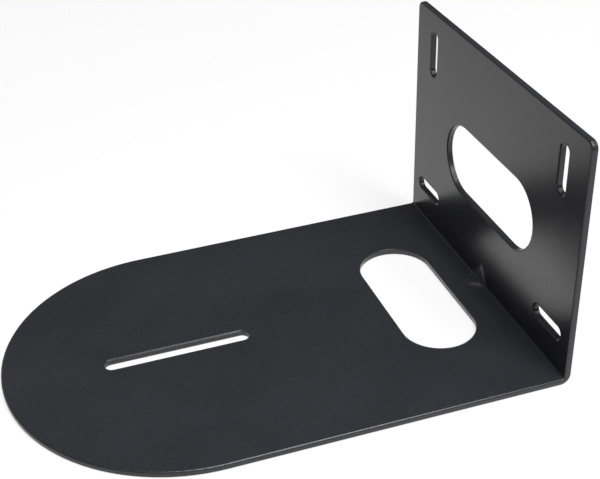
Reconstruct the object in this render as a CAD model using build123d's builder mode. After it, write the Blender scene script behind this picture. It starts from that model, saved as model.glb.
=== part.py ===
from build123d import *
from math import radians, sin
import os

# Camera wall mount: one steel sheet, cut to its outline and folded once. The upright leaf is the plate
# that is screwed to the wall, and the level leaf is the shelf that carries the camera. X runs along
# the fold, +Y points into the wall and +Z points up. The origin lies on the plate's wall face, midway
# between the lower two screw slots. Lengths are in millimetres, angles in degrees.

# Sheet and fold: pressed round a sharp punch, so the sheet is a little thinner through the bend
sheet_thickness = 3.2
inside_bend_radius = 1.0
outside_bend_radius = 5.0
edge_rounding = 0.9
rim_chamfer_width = 0.8
rim_chamfer_depth = 0.4

# Outline
width = 165.0
shelf_reach = 242.0
plate_height = 121.5
plate_corner_radius = 4.0

# Wall screw slots: the lower two lie level and the upper two stand upright
screw_slot_length = 23.5
screw_slot_width = 6.4
screw_slot_from_side = 19.5
upper_slot_from_top = 21.9
lower_slot_height = 21.6

# Windows: the same cut in both leaves
window_length = 86.5
window_width = 36.0
shelf_window_from_wall = 38.0
plate_window_height = 58.0

# Slot for the camera's tripod screw
camera_slot_length = 70.0
camera_slot_width = 7.0

# Stiffening dart, pressed into the fold from outside
dart_reach = 7.0
dart_flank_angle = 48.0
dart_crest_radius = 1.5
dart_punch_radius = 1.0
dart_flare_radius = 4.0
dart_foot_blend = 1.5
dart_mouth_rounding = 1.5

# Places that follow from the sizes above
underside = -lower_slot_height
shelf_top = underside + sheet_thickness
plate_top = underside + plate_height
nose_centre = width / 2 - shelf_reach
slot_spacing_across = width - 2 * screw_slot_from_side
slot_spacing_up = plate_top - upper_slot_from_top

# Dart heights along the diagonal, measured from the fold's sharp outside corner: the foot is level with
# the sharp inside corner, the crest is the top of the rounded ridge, and the peak is where the two
# flanks would meet without the rounding
dart_foot = 2 * sheet_thickness / 2**0.5
dart_crest = dart_foot + dart_reach / 2**0.5
dart_peak = dart_crest + dart_crest_radius / sin(radians(dart_flank_angle)) - dart_crest_radius
hollow_peak = dart_peak - sheet_thickness / sin(radians(dart_flank_angle))
dart_span = 2 * dart_peak

os.makedirs("parts", exist_ok=True)

# The dart's crest climbs from the shelf to the plate at 45 degrees. Its section lies square to the
# crest, with local Y along the diagonal into the fold.
crest_plane = Plane(origin=(0, 0, underside), x_dir=(-1, 0, 0), z_dir=(0, 1, 1))
crest_direction = Axis((0, 0, underside), (0, 1, 1))

# Section of the raised side: two flanks that meet in a rounded crest and flare out at their feet
with BuildSketch() as dart_section:
    with BuildLine():
        drop = dart_peak - dart_foot
        flank = PolarLine((0, dart_peak), drop, dart_flank_angle - 90, length_mode=LengthMode.VERTICAL)
        Polyline(flank @ 1, (dart_span, dart_foot), (dart_span, 0), (0, 0), (0, dart_peak))
    make_face()
    mirror(about=Plane.YZ)
    corners = dart_section.vertices().group_by(Axis.Y)
    fillet(corners[-2].sort_by(Axis.X)[1:3], dart_flare_radius)
    fillet(dart_section.vertices().sort_by(Axis.Y)[-1], dart_crest_radius)

# Section of the hollow behind it, as the punch leaves it, with flanks one sheet thickness further in
with BuildSketch() as hollow_section:
    with BuildLine():
        hollow_flank = PolarLine((0, hollow_peak), dart_span, dart_flank_angle - 90)
        mirror(about=Plane.YZ)
        Line(hollow_flank @ 1, (-(hollow_flank @ 1).X, (hollow_flank @ 1).Y))
    make_face()
    fillet(hollow_section.vertices().sort_by(Axis.Y)[-1], dart_punch_radius)

# Raised side of the dart, kept only from the middle of the sheet inwards
with BuildPart() as dart_rise:
    with BuildSketch(crest_plane):
        add(dart_section.sketch)
    extrude(amount=dart_span, both=True)
    with BuildSketch(Plane.YZ) as inside_fold:
        with Locations((-sheet_thickness / 2, underside + sheet_thickness / 2)):
            Rectangle(dart_span, dart_span, align=(Align.MAX, Align.MIN))
        inside_corner = inside_fold.vertices().group_by(Axis.Y)[0].sort_by(Axis.X)[-1]
        fillet(inside_corner, inside_bend_radius + sheet_thickness / 2)
    extrude(amount=dart_span, both=True, mode=Mode.INTERSECT)

# Hollow of the dart on the outside of the fold
with BuildPart() as dart_hollow:
    with BuildSketch(crest_plane):
        add(hollow_section.sketch)
    extrude(amount=dart_span, both=True)

with BuildPart() as folded_bracket:
    # The folded sheet as a side profile: its outside line, its inside line and its two cut ends
    with BuildSketch(Plane.YZ):
        with BuildLine():
            outside = FilletPolyline(
                (-shelf_reach, underside),
                (0, underside),
                (0, plate_top),
                radius=outside_bend_radius,
            )
            inside = FilletPolyline(
                (-shelf_reach, shelf_top),
                (-sheet_thickness, shelf_top),
                (-sheet_thickness, plate_top),
                radius=inside_bend_radius,
            )
            Line(outside @ 0, inside @ 0)
            Line(outside @ 1, inside @ 1)
        make_face()
    extrude(amount=width / 2, both=True)

    # Outline from above: straight sides that end in a half-round nose
    with BuildSketch(Plane.XY.offset(underside)):
        with Locations((0, nose_centre)):
            Circle(width / 2)
            Rectangle(width, -nose_centre, align=(Align.CENTER, Align.MIN))
    extrude(amount=plate_height, mode=Mode.INTERSECT)

    # Rounded upper corners of the plate
    fillet(edges().filter_by(Axis.Y).group_by(Axis.Z)[-1], plate_corner_radius)

    # Shelf: the window near the fold, and the camera slot centred on the nose
    with BuildSketch(Plane.XY.offset(underside)):
        with Locations((0, -shelf_window_from_wall)):
            SlotOverall(window_length, window_width)
        with Locations((0, nose_centre)):
            SlotOverall(camera_slot_length, camera_slot_width, rotation=90)
    extrude(amount=sheet_thickness, mode=Mode.SUBTRACT)

    # Plate: the window, and the two rows of screw slots
    with BuildSketch(Plane.XZ):
        with Locations((0, underside + plate_window_height)):
            SlotOverall(window_length, window_width)
        with GridLocations(slot_spacing_across, 0, 2, 1):
            SlotOverall(screw_slot_length, screw_slot_width)
        with Locations((0, slot_spacing_up)):
            with GridLocations(slot_spacing_across, 0, 2, 1):
                SlotOverall(screw_slot_length, screw_slot_width, rotation=90)
    extrude(amount=sheet_thickness, mode=Mode.SUBTRACT)

    # Chamfered rims round every cut-out on both sides of each leaf, wider along the face than they are deep
    for across_leaf in (Axis.Z, Axis.Y):
        for side in (0, -1):
            leaf_face = faces().filter_by(across_leaf).sort_by(SortBy.AREA)[-2:].sort_by(across_leaf)[side]
            cutout_rims = [edge for wire in leaf_face.inner_wires() for edge in wire.edges()]
            chamfer(cutout_rims, rim_chamfer_width, rim_chamfer_depth, reference=leaf_face)

    # Rounded outline: every outer edge of the broad faces except where they run on into the bend
    broad_faces = faces().filter_by(GeomType.PLANE).sort_by(SortBy.AREA)[-4:]
    outline = [edge for face in broad_faces for edge in face.outer_wire().edges()]
    bend_lines = ShapeList(outline).filter_by(Axis.X).group_by(SortBy.LENGTH)[-1]
    fillet([edge for edge in outline if edge not in bend_lines], edge_rounding)

    # The dart: its raised side with a blended foot, then the hollow behind it with a softened mouth
    add(dart_rise.part)
    rise_edges = edges(Select.NEW)
    foot_edges = [edge for edge in rise_edges if edge not in rise_edges.filter_by(crest_direction)]
    fillet(foot_edges, dart_foot_blend)
    add(dart_hollow.part, mode=Mode.SUBTRACT)
    hollow_edges = edges(Select.NEW)
    mouth_edges = [edge for edge in hollow_edges if edge not in hollow_edges.filter_by(crest_direction)]
    fillet(mouth_edges, dart_mouth_rounding)

folded_bracket.part.label = "folded_bracket"
export_step(folded_bracket.part, "parts/folded_bracket.step")
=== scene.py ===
"""Looks for the camera wall mount: one folded steel sheet with a satin black powder coat.

The shelf lies level and the plate stands upright behind it. +X runs along the fold, +Y points into
the wall and +Z points up. The origin is on the plate's wall face, midway between the lower two screw
slots. Lengths are in metres.
"""

import logging
import math
from abc import ABC, abstractmethod
from collections.abc import Sequence
from dataclasses import dataclass, field
from enum import Enum

import bmesh
import bpy
from mathutils import Matrix, Vector


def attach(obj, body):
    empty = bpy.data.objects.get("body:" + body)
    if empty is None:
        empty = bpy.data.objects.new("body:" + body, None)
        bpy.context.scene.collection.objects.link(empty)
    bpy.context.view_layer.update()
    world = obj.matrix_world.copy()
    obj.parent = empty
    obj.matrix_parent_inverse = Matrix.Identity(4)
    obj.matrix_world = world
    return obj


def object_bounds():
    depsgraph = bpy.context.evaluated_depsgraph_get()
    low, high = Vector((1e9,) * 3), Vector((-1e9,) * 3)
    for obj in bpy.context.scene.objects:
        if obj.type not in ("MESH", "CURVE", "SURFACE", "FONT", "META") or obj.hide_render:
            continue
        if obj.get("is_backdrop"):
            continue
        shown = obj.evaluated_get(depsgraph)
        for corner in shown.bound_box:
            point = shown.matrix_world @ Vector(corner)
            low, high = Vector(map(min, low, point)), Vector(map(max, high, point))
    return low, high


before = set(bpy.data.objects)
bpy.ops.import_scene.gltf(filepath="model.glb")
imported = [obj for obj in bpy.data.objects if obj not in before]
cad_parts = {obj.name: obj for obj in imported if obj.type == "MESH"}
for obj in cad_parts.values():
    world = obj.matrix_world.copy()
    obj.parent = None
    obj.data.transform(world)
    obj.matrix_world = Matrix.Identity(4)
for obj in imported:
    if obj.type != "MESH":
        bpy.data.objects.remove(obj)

log = logging.getLogger("camera_wall_mount")

Colour = tuple[float, float, float]
Place = tuple[float, float, float]
Span = tuple[float, float]

MM = 0.001
PHOTO_WIDTH = 600
PHOTO_HEIGHT = 479
WHITE: Colour = (1.0, 1.0, 1.0)
FULL_RANGE: Span = (0.0, 1.0)


class GrainSize(Enum):
    """Sizes that the powder grain takes in."""

    PEEL = "Peel Size"
    FLECK = "Fleck Size"
    CLOUD = "Cloud Size"


class GrainMask(Enum):
    """Masks that the powder grain gives out, in the same order as its sizes."""

    PEEL = "Height"
    FLECK = "Fleck"
    CLOUD = "Cloud"


class Blend(Enum):
    """Ways to go from one end of a range to the other."""

    EVEN = "LINEAR"
    SOFT = "SMOOTHSTEP"


@dataclass
class NodeTree:
    """A thin helper that adds nodes to one tree and links them."""

    tree: bpy.types.NodeTree

    def add(self, kind: str, **settings: object) -> bpy.types.Node:
        """Add one node.

        Args:
            kind: Blender's name for the node type.
            settings: Node properties to set, by name.

        Returns:
            The new node.
        """
        node = self.tree.nodes.new(kind)
        for name, value in settings.items():
            setattr(node, name, value)
        return node

    def link(self, source: bpy.types.NodeSocket, target: bpy.types.NodeSocket) -> None:
        """Join an output to an input."""
        self.tree.links.new(source, target)

    def math(self, operation: str, *values: float | bpy.types.NodeSocket) -> bpy.types.NodeSocket:
        """Add a math node.

        Args:
            operation: Blender's name for the operation.
            values: Numbers, or sockets to link, in order.

        Returns:
            The node's output.
        """
        node = self.add("ShaderNodeMath", operation=operation)
        for index, value in enumerate(values):
            if isinstance(value, bpy.types.NodeSocket):
                self.link(value, node.inputs[index])
            else:
                node.inputs[index].default_value = value
        return node.outputs[0]

    def map_range(
        self,
        value: bpy.types.NodeSocket,
        source: Span,
        target: Span,
        blend: Blend = Blend.EVEN,
    ) -> bpy.types.NodeSocket:
        """Map a value from one range to another.

        Args:
            value: The value to map.
            source: Where the value starts and ends.
            target: What those two become. Values past either end stay at it.
            blend: How to go from one end to the other.

        Returns:
            The mapped value.
        """
        node = self.add("ShaderNodeMapRange", interpolation_type=blend.value)
        for name, number in zip(("From Min", "From Max", "To Min", "To Max"), (*source, *target)):
            node.inputs[name].default_value = number
        self.link(value, node.inputs["Value"])
        return node.outputs["Result"]

    def ray_masks(self) -> tuple[bpy.types.NodeSocket, bpy.types.NodeSocket]:
        """Tell apart what looks at a surface.

        Returns:
            A mask that is 1 for the camera, and one that is 1 for glossy and clear surfaces.
        """
        path = self.add("ShaderNodeLightPath")
        glossy, clear = path.outputs["Is Glossy Ray"], path.outputs["Is Transmission Ray"]
        return path.outputs["Is Camera Ray"], self.math("ADD", glossy, clear)


@dataclass(frozen=True)
class PowderGrain:
    """The fine orange peel, flecks and clouds that powder leaves when it melts, as a node group.

    Attributes:
        name: Name of the group.
        details: How many finer layers each noise has, in the order of the masks.
        contrast: Noise values that become 0 and 1.
    """

    name: str = "powder_grain"
    details: tuple[float, float, float] = (2.0, 3.0, 3.0)
    contrast: Span = (0.2, 0.8)

    def build(self) -> bpy.types.ShaderNodeTree:
        """Build the group.

        Returns:
            A group that takes in each grain's size and gives out each grain's mask, from 0 to 1.
        """
        group = bpy.data.node_groups.new(self.name, "ShaderNodeTree")
        for direction, names in (("INPUT", GrainSize), ("OUTPUT", GrainMask)):
            for name in names:
                group.interface.new_socket(name.value, in_out=direction, socket_type="NodeSocketFloat")
        nodes = NodeTree(group)
        given = nodes.add("NodeGroupInput")
        result = nodes.add("NodeGroupOutput")
        place = nodes.add("ShaderNodeTexCoord")
        for size, mask, detail in zip(GrainSize, GrainMask, self.details):
            noise = nodes.add("ShaderNodeTexNoise", noise_dimensions="3D")
            noise.inputs["Detail"].default_value = detail
            nodes.link(place.outputs["Object"], noise.inputs["Vector"])
            nodes.link(nodes.math("DIVIDE", 1.0, given.outputs[size.value]), noise.inputs["Scale"])
            spread = nodes.map_range(noise.outputs["Fac"], self.contrast, FULL_RANGE, Blend.SOFT)
            nodes.link(spread, result.inputs[mask.value])
        return group


@dataclass(frozen=True)
class PowderCoat:
    """Satin black powder coat on steel.

    Attributes:
        name: Name of the material.
        dark: Colour of the darkest clouds and flecks.
        light: Colour of the lightest ones.
        roughness: Roughness of the coat, between its clouds.
        roughness_spread: How much the roughness changes from cloud to cloud.
        peel_size: Width of one dimple of the orange peel.
        peel_depth: Depth of that dimple.
        fleck_size: Width of one fleck.
        cloud_size: Width of one cloud.
        ior: Refractive index of the clear binder.
    """

    name: str = "satin_black_powder_coat"
    dark: Colour = (0.0225, 0.0236, 0.0281)
    light: Colour = (0.0350, 0.0367, 0.0434)
    roughness: float = 0.28
    roughness_spread: float = 0.05
    peel_size: float = 0.8 * MM
    peel_depth: float = 0.010 * MM
    fleck_size: float = 1.8 * MM
    cloud_size: float = 45 * MM
    ior: float = 1.5

    def build(self) -> bpy.types.Material:
        """Build the material, or find it once it is built.

        Returns:
            The finished material.
        """
        found = bpy.data.materials.get(self.name)
        if found:
            return found
        material = bpy.data.materials.new(self.name)
        material.use_nodes = True
        nodes = NodeTree(material.node_tree)
        shader = material.node_tree.nodes["Principled BSDF"]
        shader.inputs["IOR"].default_value = self.ior
        grain = nodes.add("ShaderNodeGroup", node_tree=PowderGrain().build())
        for size, width in zip(GrainSize, (self.peel_size, self.fleck_size, self.cloud_size)):
            grain.inputs[size.value].default_value = width
        peel, fleck, cloud = (grain.outputs[mask.value] for mask in GrainMask)

        tint = nodes.add("ShaderNodeMix", data_type="RGBA")
        tint.inputs["A"].default_value = (*self.dark, 1.0)
        tint.inputs["B"].default_value = (*self.light, 1.0)
        average = nodes.math("MULTIPLY", nodes.math("ADD", cloud, fleck), 0.5)
        nodes.link(average, tint.inputs["Factor"])
        nodes.link(tint.outputs["Result"], shader.inputs["Base Color"])

        either_way = self.roughness_spread / 2
        roughness_range = (self.roughness - either_way, self.roughness + either_way)
        nodes.link(nodes.map_range(cloud, FULL_RANGE, roughness_range), shader.inputs["Roughness"])

        bump = nodes.add("ShaderNodeBump")
        bump.inputs["Strength"].default_value = 1.0
        bump.inputs["Distance"].default_value = self.peel_depth
        nodes.link(peel, bump.inputs["Height"])
        nodes.link(bump.outputs["Normal"], shader.inputs["Normal"])
        return material


@dataclass(frozen=True)
class PaleFloor:
    """Plain pale floor that the camera sees as white, with the object's soft shadow kept.

    Lifts are added to what the lamps give. The one that the camera sees grows with distance, where
    the lamps give less. The one that glossy and clear surfaces see is a painted glow: a pool of painted
    light that is strongest near the object, under the shelf's window where the lamps leave shadow, and
    fades out within a short reach, so that the coat shows a painted reflection of a bright floor.

    Attributes:
        name: Name of the material.
        colour: Colour of the floor itself.
        seen_lift: Lift that the camera sees at the middle.
        seen_lift_far: Lift that the camera sees at far_reach and beyond.
        far_reach: Distance at which the camera's lift stops growing.
        reflected_painted_glow: Painted glow that glossy and clear surfaces see at the middle.
        middle: Point that distances are measured from, under the shelf's window.
        reach: Distance that the fade's positions are shares of.
        fade: Positions from the middle outwards, each with its share of the painted glow.
    """

    name: str = "pale_floor"
    colour: Colour = (0.3, 0.3, 0.3)
    seen_lift: float = 0.72
    seen_lift_far: float = 0.97
    far_reach: float = 3.0
    # Painted glow: a pool of painted light that only reflections see, strongest near the object.
    reflected_painted_glow: float = 1.15
    middle: Place = (0.0, -38 * MM, 0.0)
    reach: float = 800 * MM
    fade: tuple[Span, ...] = ((0.0, 1.0), (0.15, 0.6), (0.45, 0.5), (0.8, 0.0))

    def fade_out(self, nodes: NodeTree, away: bpy.types.NodeSocket) -> bpy.types.NodeSocket:
        """Add the fade of the painted glow that reflections see.

        Args:
            nodes: The material's nodes.
            away: Distance from the middle.

        Returns:
            The share of the painted glow at that distance.
        """
        ramp = nodes.add("ShaderNodeValToRGB")
        stops = ramp.color_ramp.elements
        for position, _ in self.fade[1:-1]:
            stops.new(position)
        for stop, (position, share) in zip(stops, self.fade):
            stop.position = position
            stop.color = (share, share, share, 1.0)
        nodes.link(nodes.math("DIVIDE", away, self.reach), ramp.inputs["Fac"])
        return ramp.outputs["Color"]

    def build(self) -> bpy.types.Material:
        """Build the material.

        Returns:
            A matte material that is lifted to white where the camera looks at it, and that shows a
            painted glow near the object where glossy and clear surfaces look at it.
        """
        material = bpy.data.materials.new(self.name)
        material.use_nodes = True
        nodes = NodeTree(material.node_tree)
        shader = material.node_tree.nodes["Principled BSDF"]
        shader.inputs["Base Color"].default_value = (*self.colour, 1.0)
        shader.inputs["Roughness"].default_value = 1.0
        shader.inputs["Specular IOR Level"].default_value = 0.0
        shader.inputs["Emission Color"].default_value = (*WHITE, 1.0)

        place = nodes.add("ShaderNodeTexCoord")
        distance = nodes.add("ShaderNodeVectorMath", operation="DISTANCE")
        nodes.link(place.outputs["Object"], distance.inputs[0])
        distance.inputs[1].default_value = self.middle
        away = distance.outputs["Value"]

        camera, mirrored = nodes.ray_masks()
        lift = nodes.map_range(away, (0.0, self.far_reach), (self.seen_lift, self.seen_lift_far))
        seen = nodes.math("MULTIPLY", camera, lift)
        # Painted glow: a pool of painted light near the object, seen only in reflections.
        glow = nodes.math("MULTIPLY", self.fade_out(nodes, away), self.reflected_painted_glow)
        reflected = nodes.math("MULTIPLY", mirrored, glow)
        nodes.link(nodes.math("ADD", seen, reflected), shader.inputs["Emission Strength"])
        return material


@dataclass
class CoatedPiece(ABC):
    """A piece of the object that wears the powder coat."""

    finish: PowderCoat = field(default_factory=PowderCoat)

    @abstractmethod
    def build(self) -> bpy.types.Object:
        """Build or find the piece's object."""

    def make(self) -> None:
        """Build the piece and coat it."""
        piece = self.build()
        piece.data.materials.clear()
        piece.data.materials.append(self.finish.build())
        log.info("piece %s with %d faces", piece.name, len(piece.data.polygons))


@dataclass
class FoldedBracket(CoatedPiece):
    """The folded sheet itself, carried over from the frame."""

    node: str = "folded_bracket"

    def build(self) -> bpy.types.Object:
        """Find the sheet in the frame."""
        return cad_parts[self.node]


@dataclass
class PressedDart(CoatedPiece):
    """The stiffening dart's face inside the fold, where the pressed sheet flows softly into both leaves.

    It is drawn over the frame's own dart. Heights are along the diagonal into the fold, from the
    fold's sharp outside corner. The face lies just under the leaves where the dart has run out.

    Attributes:
        name: Name of the piece.
        underside: Height of the shelf's underside.
        sheet_thickness: Thickness of the sheet.
        bend_radius: Radius inside the fold.
        flank_peak: Height at which the two flanks would meet in a sharp crest.
        flank_slope: How far a flank drops for each step away from the crest.
        crest_roundness: How far the crest's rounding goes to each side.
        foot_blend: Difference in height over which a flank blends into the fold.
        half_length: Half the length of the face along the fold.
        half_reach: Half the reach of the face across the fold.
        sink: How far the face lies under the leaves at its border.
        skin: Thickness that backs the face.
        cells: Cells of the grid, each way.
    """

    name: str = "pressed_dart"
    underside: float = -21.6 * MM
    sheet_thickness: float = 3.2 * MM
    bend_radius: float = 1.0 * MM
    flank_peak: float = 10.25 * MM
    flank_slope: float = 0.90
    crest_roundness: float = 0.75 * MM
    foot_blend: float = 3.5 * MM
    half_length: float = 10.4 * MM
    half_reach: float = 9.2 * MM
    sink: float = 0.02 * MM
    skin: float = 0.6 * MM
    cells: int = 72

    def fold_height(self, along: float) -> float:
        """Give the height of the plain fold.

        Args:
            along: Distance from the fold's corner, square to the diagonal.

        Returns:
            Height along the diagonal.
        """
        corner = self.sheet_thickness * math.sqrt(2)
        if abs(along) * math.sqrt(2) < self.bend_radius:
            centre = corner + self.bend_radius * math.sqrt(2)
            return centre - math.sqrt(self.bend_radius**2 - along**2)
        return corner + abs(along)

    def face_height(self, across: float, along: float) -> float:
        """Give the height of the dart's face, as a smooth maximum of its flanks and the fold.

        Args:
            across: Distance along the fold from the dart's crest.
            along: Distance from the fold's corner, square to the diagonal.

        Returns:
            Height along the diagonal.
        """
        fold = self.fold_height(along) - self.sink
        flank = self.flank_peak - self.flank_slope * math.hypot(across, self.crest_roundness)
        overlap = max(self.foot_blend - abs(flank - fold), 0.0)
        return max(flank, fold) + overlap**2 / (4 * self.foot_blend)

    def build(self) -> bpy.types.Object:
        """Press a fine grid into the dart's shape.

        Returns:
            The dart's object.
        """
        mesh = bpy.data.meshes.new(self.name)
        shape = bmesh.new()
        bmesh.ops.create_grid(shape, x_segments=self.cells, y_segments=self.cells, size=1.0)
        for vert in shape.verts:
            across = vert.co.x * self.half_length
            along = vert.co.y * self.half_reach
            height = self.face_height(across, along)
            vert.co.x = across
            vert.co.y = (along - height) / math.sqrt(2)
            vert.co.z = self.underside + (along + height) / math.sqrt(2)
        for face in shape.faces:
            face.smooth = True
        shape.to_mesh(mesh)
        shape.free()
        dart = bpy.data.objects.new(self.name, mesh)
        bpy.context.scene.collection.objects.link(dart)
        backing = dart.modifiers.new("skin", "SOLIDIFY")
        backing.thickness = self.skin
        backing.offset = -1.0
        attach(dart, "root")
        return dart


@dataclass(frozen=True)
class SoftLamp:
    """One soft rectangular lamp that faces the object.

    Attributes:
        name: Name of the lamp.
        azimuth: Degrees from +X towards +Y at which the object sees it.
        height: Degrees above the level at which the object sees it.
        size: Width and height of its face.
        brightness: How bright its face is, where white paper in full light is 1.
        distance: Distance from the middle.
        middle: Point that it faces.
    """

    name: str
    azimuth: float
    height: float
    size: Span
    brightness: float
    distance: float = 2.0
    middle: Place = (0.0, -0.1, 0.0)

    def build(self) -> None:
        """Build the lamp and point it at the object."""
        width, height = self.size
        data = bpy.data.lights.new(self.name, "AREA")
        data.shape = "RECTANGLE"
        data.size, data.size_y = width, height
        data.energy = self.brightness * math.pi * width * height
        turn = math.radians(self.azimuth)
        rise = math.radians(self.height)
        away = Vector((math.cos(turn) * math.cos(rise), math.sin(turn) * math.cos(rise), math.sin(rise)))
        lamp = bpy.data.objects.new(self.name, data)
        facing = (-away).to_track_quat("-Z", "Y").to_matrix().to_4x4()
        lamp.matrix_world = Matrix.Translation(Vector(self.middle) + away * self.distance) @ facing
        bpy.context.scene.collection.objects.link(lamp)
        log.info("lamp %s", lamp.name)


@dataclass
class Studio:
    """Floor, soft lamps and dim surroundings.

    Attributes:
        floor_height: Height of the object's lowest point.
        floor_gap: How far the floor lies under that point, so that the two faces don't coincide.
        floor_reach: Radius of the floor.
        floor_sides: Sides of the floor's outline.
        world_grey: Light from the surroundings.
        reflected_grey: What glossy and clear surfaces see of the surroundings.
        floor_finish: Material of the floor.
        lamps: The lamps.
    """

    floor_height: float
    floor_gap: float = 0.1 * MM
    floor_reach: float = 12.0
    floor_sides: int = 64
    world_grey: float = 0.04
    reflected_grey: float = 0.06
    floor_finish: PaleFloor = field(default_factory=PaleFloor)
    lamps: tuple[SoftLamp, ...] = (
        SoftLamp("overhead_lamp", 30.0, 75.0, (0.84, 0.33), 8.3, 1.2),
        SoftLamp("key_lamp", 15.0, 53.0, (0.84, 0.66), 3.9, 1.2),
        SoftLamp("side_lamp", 22.0, 55.0, (0.42, 0.42), 8.4, 1.2),
        SoftLamp("far_lamp", 200.0, 20.0, (1.2, 0.7), 0.4),
    )

    def build_floor(self) -> None:
        """Lay the floor under the object."""
        mesh = bpy.data.meshes.new("floor")
        shape = bmesh.new()
        bmesh.ops.create_circle(shape, cap_ends=True, segments=self.floor_sides, radius=self.floor_reach)
        bmesh.ops.translate(shape, verts=shape.verts, vec=(0, 0, self.floor_height - self.floor_gap))
        shape.to_mesh(mesh)
        shape.free()
        floor = bpy.data.objects.new("floor", mesh)
        mesh.materials.append(self.floor_finish.build())
        bpy.context.scene.collection.objects.link(floor)
        floor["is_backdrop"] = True

    def build_world(self) -> None:
        """Surround the scene with a dim grey that the camera sees as white."""
        world = bpy.data.worlds.new("surroundings")
        world.use_nodes = True
        nodes = NodeTree(world.node_tree)
        back = world.node_tree.nodes["Background"]
        back.inputs["Color"].default_value = (*WHITE, 1.0)
        camera, mirrored = nodes.ray_masks()
        seen = nodes.math("MULTIPLY", camera, 1.0 - self.world_grey)
        reflected = nodes.math("MULTIPLY", mirrored, self.reflected_grey - self.world_grey)
        extra = nodes.math("ADD", seen, reflected)
        nodes.link(nodes.math("ADD", extra, self.world_grey), back.inputs["Strength"])
        bpy.context.scene.world = world

    def build(self) -> None:
        """Build the floor, the surroundings and every lamp."""
        self.build_floor()
        self.build_world()
        for lamp in self.lamps:
            lamp.build()


@dataclass
class PhotoCamera:
    """Camera at the photograph's viewing angle.

    Attributes:
        azimuth: Degrees round the object, from its front towards +X.
        elevation: Degrees above the level.
        roll: Degrees by which the picture is turned.
        distance: Distance from the middle, along the view.
        aside: Shift to the right of the view.
        above: Shift upwards in the view.
        middle: Point that the distance is measured from.
        focal_pixels: Focal length, in pixels of the photograph.
        centre_column: Column where the lens axis meets the picture.
        centre_row: Row where the lens axis meets the picture.
        sensor: Width of the sensor, in millimetres.
        clip: Nearest and furthest distance that it sees.
    """

    azimuth: float = 74.228
    elevation: float = 32.742
    roll: float = -3.141
    distance: float = 562.977 * MM
    aside: float = -12.035 * MM
    above: float = 9.633 * MM
    middle: Place = (0.0, -110 * MM, 18.4 * MM)
    focal_pixels: float = 1216.844
    centre_column: float = 247.804
    centre_row: float = 243.766
    sensor: float = 36.0
    clip: Span = (0.01, 100.0)

    def build(self) -> None:
        """Build the camera and make it the scene's own."""
        turn = math.radians(self.azimuth)
        rise = math.radians(self.elevation)
        tilt = math.radians(self.roll)
        back = Vector((math.sin(turn) * math.cos(rise), -math.cos(turn) * math.cos(rise), math.sin(rise)))
        right = Vector((math.cos(turn), math.sin(turn), 0.0))
        up = back.cross(right)
        place = Vector(self.middle) + right * self.aside + up * self.above + back * self.distance
        side = right * math.cos(tilt) + up * math.sin(tilt)
        top = up * math.cos(tilt) - right * math.sin(tilt)
        data = bpy.data.cameras.new("camera")
        data.sensor_fit = "HORIZONTAL"
        data.sensor_width = self.sensor
        data.lens = self.focal_pixels * self.sensor / PHOTO_WIDTH
        data.shift_x = (PHOTO_WIDTH / 2 - self.centre_column) / PHOTO_WIDTH
        data.shift_y = (self.centre_row - PHOTO_HEIGHT / 2) / PHOTO_WIDTH
        data.clip_start, data.clip_end = self.clip
        camera = bpy.data.objects.new("camera", data)
        camera.matrix_world = Matrix.Translation(place) @ Matrix((side, top, back)).transposed().to_4x4()
        bpy.context.scene.collection.objects.link(camera)
        bpy.context.scene.camera = camera


def plain_box(bounds: Sequence[Sequence[float]]) -> list[list[float]]:
    """Turn a pair of corners into plain lists of numbers.

    Args:
        bounds: The lowest and the highest corner.

    Returns:
        The same corners as lists.
    """
    return [[float(value) for value in corner] for corner in bounds]


def main() -> None:
    """Build the scene in order, with the floor under the object's lowest point."""
    logging.basicConfig(level=logging.INFO, format="%(name)s: %(message)s")
    cad_box = plain_box(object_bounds())
    bpy.context.scene.view_settings.view_transform = "Standard"
    for piece in (FoldedBracket(), PressedDart()):
        piece.make()
    Studio(floor_height=cad_box[0][2]).build()
    PhotoCamera().build()


if __name__ == "__main__":
    main()
